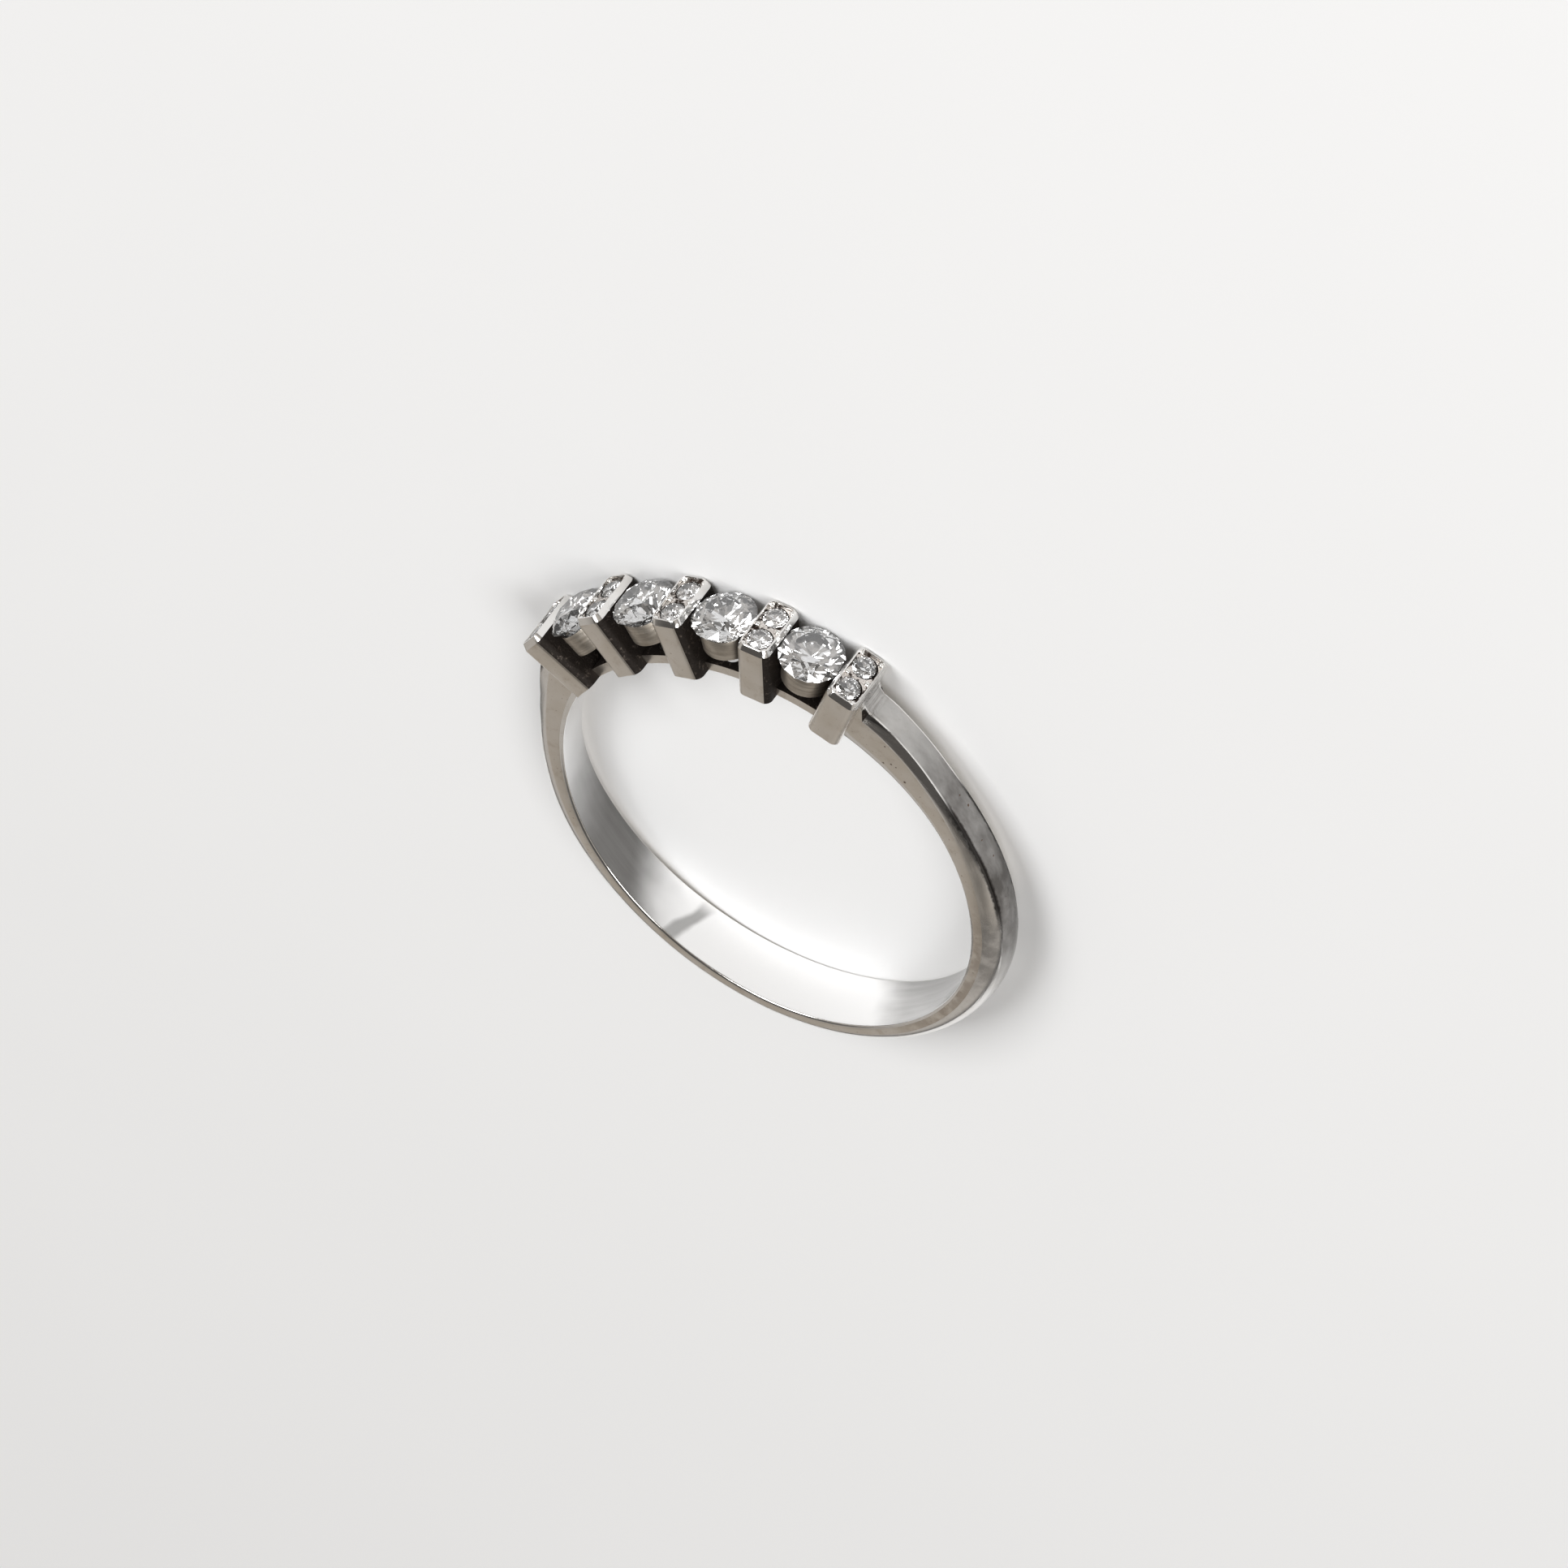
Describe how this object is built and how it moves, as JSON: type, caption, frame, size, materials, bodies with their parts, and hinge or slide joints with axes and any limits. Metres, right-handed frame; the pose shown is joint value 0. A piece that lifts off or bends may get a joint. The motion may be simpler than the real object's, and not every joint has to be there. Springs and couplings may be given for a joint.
{
  "type": "bar set stone band ring",
  "caption": "White metal finger ring: round stones held between upright bars, each bar set with small round stones, on a band with bevelled shoulders.",
  "frame": {"origin": "centre of the finger hole, halfway across the ring's width; the ring lies on its side, so it rests on the plane 1.225 mm below", "axes": "+Z runs along the finger hole, -Y points through the middle bar of the head, and +X follows the head round to bar 1"},
  "size_m": [0.0193, 0.0207, 0.0024],
  "materials": {
    "white_gold": "polished, worn, with satin bar faces and fine scratches",
    "stone": "faceted, clear"
  },
  "bodies": {
    "root": {"band": "white_gold", "main_stone_1": "stone", "main_stone_2": "stone", "main_stone_3": "stone", "main_stone_4": "stone", "bar_stone_1": "stone", "bar_stone_2": "stone", "bar_stone_3": "stone", "bar_stone_4": "stone", "bar_stone_5": "stone", "bar_stone_6": "stone", "bar_stone_7": "stone", "bar_stone_8": "stone", "bar_stone_9": "stone", "bar_stone_10": "stone"}
  },
  "joints": []
}
